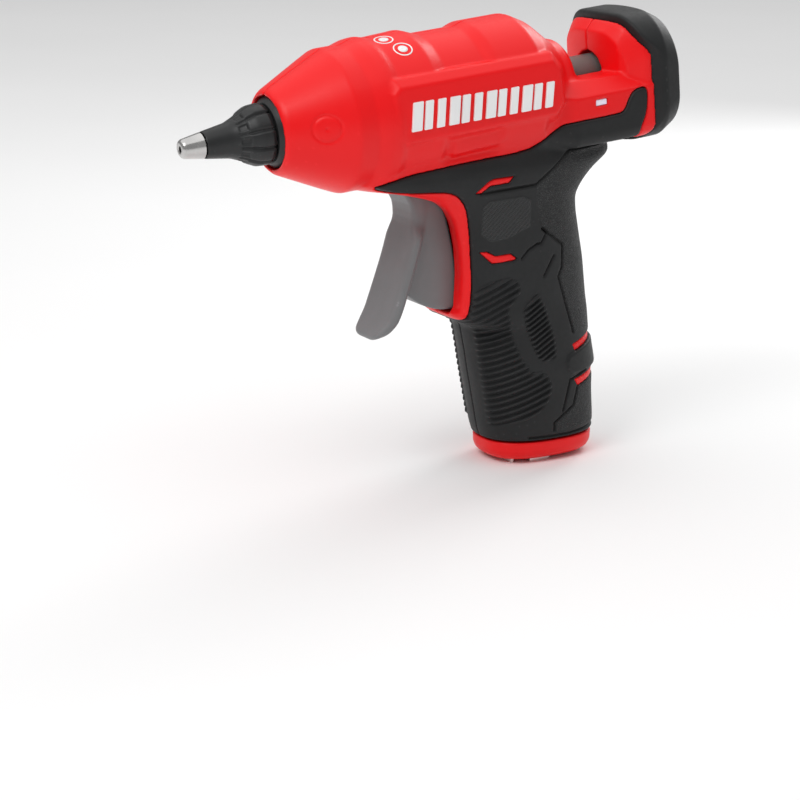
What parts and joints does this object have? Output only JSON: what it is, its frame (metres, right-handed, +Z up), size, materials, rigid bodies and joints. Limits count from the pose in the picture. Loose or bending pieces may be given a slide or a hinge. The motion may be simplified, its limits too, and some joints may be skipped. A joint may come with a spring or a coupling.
{
  "type": "hot glue gun",
  "caption": "Dock-charged hot glue gun: red clamshell barrel and grip with rubber covers, grey lever trigger driving a stick-feed carriage, heated chamber and steel nozzle.",
  "frame": {"origin": "centre of the foot's flat underside, in the seam plane, where the gun stands in its dock", "axes": "+Z up the grip, -X towards the nozzle, -Y the side with the indicator lens; the barrel axis rises 5.5 degrees towards the rear"},
  "size_m": [0.1689, 0.048, 0.1451],
  "materials": {
    "red_shell": "satin moulded ABS",
    "rubber": "matte thermoplastic rubber",
    "grey_plastic": "satin glass-filled nylon",
    "black_plastic": "satin moulded plastic",
    "silicone": "matte",
    "steel": "turned",
    "spring_steel": "drawn wire",
    "aluminium": "die cast",
    "brass": "plated",
    "ceramic": "fired ceramic",
    "glue": "translucent hot-melt adhesive",
    "circuit_board": "solder-mask board",
    "lens": "polished diffuser",
    "white_print": "raised gloss print",
    "lead_sleeve": "woven glass sleeving"
  },
  "bodies": {
    "gun": {"left_housing": "red_shell", "right_housing": "red_shell", "foot_cap": "red_shell", "left_grip": "rubber", "right_grip": "rubber", "rear_bumper": "rubber", "nozzle_sleeve": "black_plastic", "nozzle_collar": "black_plastic", "stick_guide": "black_plastic", "rear_inlet_ring": "black_plastic", "contact_carrier": "black_plastic", "nozzle_tip": "steel", "trigger_pin": "steel", "housing_screw_1": "steel", "housing_screw_2": "steel", "housing_screw_3": "steel", "housing_screw_4": "steel", "housing_screw_5": "steel", "housing_screw_6": "steel", "housing_screw_7": "steel", "housing_screw_8": "steel", "valve_spring": "spring_steel", "return_spring": "spring_steel", "heater_clip": "spring_steel", "melt_chamber": "aluminium", "inlet_sleeve": "silicone", "heater_block": "ceramic", "thermal_fuse": "ceramic", "contact_blade_side": "brass", "contact_blade_front": "brass", "heater_lead_left": "lead_sleeve", "heater_lead_right": "lead_sleeve", "control_board": "circuit_board", "status_led": "white_print", "left_badge": "white_print", "right_badge": "white_print", "indicator_lens": "lens"},
    "trigger": {"trigger": "grey_plastic"},
    "carriage": {"feed_carriage": "black_plastic", "jaw_pin": "steel"},
    "jaw": {"clamp_jaw": "steel"},
    "stick": {"glue_stick": "glue"},
    "ball": {"valve_ball": "steel"}
  },
  "joints": [
    {"name": "trigger_pull", "type": "hinge", "parent": "gun", "child": "trigger", "pos_m": [-0.05108, 0, 0.09706], "axis": [0, -1, 0], "range_deg": [0, 22], "stiffness_Nm_per_rad": 0.5, "springref_deg": -5.73},
    {"name": "carriage_slide", "type": "slide", "parent": "gun", "child": "carriage", "axis": [-0.9954, 0, -0.0958], "range_m": [0, 0.0076], "deforming": ["return_spring"]},
    {"name": "jaw_bite", "type": "hinge", "parent": "carriage", "child": "jaw", "pos_m": [-0.04715, 0, 0.12667], "axis": [0, -1, 0], "range_deg": [0, 6.2]},
    {"name": "stick_feed", "type": "slide", "parent": "gun", "child": "stick", "axis": [-0.9954, 0, -0.0958], "range_m": [0, 0.0076]},
    {"name": "valve_lift", "type": "slide", "parent": "gun", "child": "ball", "axis": [-0.9954, 0, -0.0958], "range_m": [0, 0.0008], "deforming": ["valve_spring"]}
  ],
  "couplings": [
    {"joint": "carriage_slide", "follows": "trigger_pull", "m_per_rad": 0.019541},
    {"joint": "jaw_bite", "follows": "trigger_pull", "ratio": 0.27},
    {"joint": "stick_feed", "follows": "trigger_pull", "m_per_rad": 0.019541},
    {"joint": "valve_lift", "follows": "trigger_pull", "m_per_rad": 0.002}
  ]
}
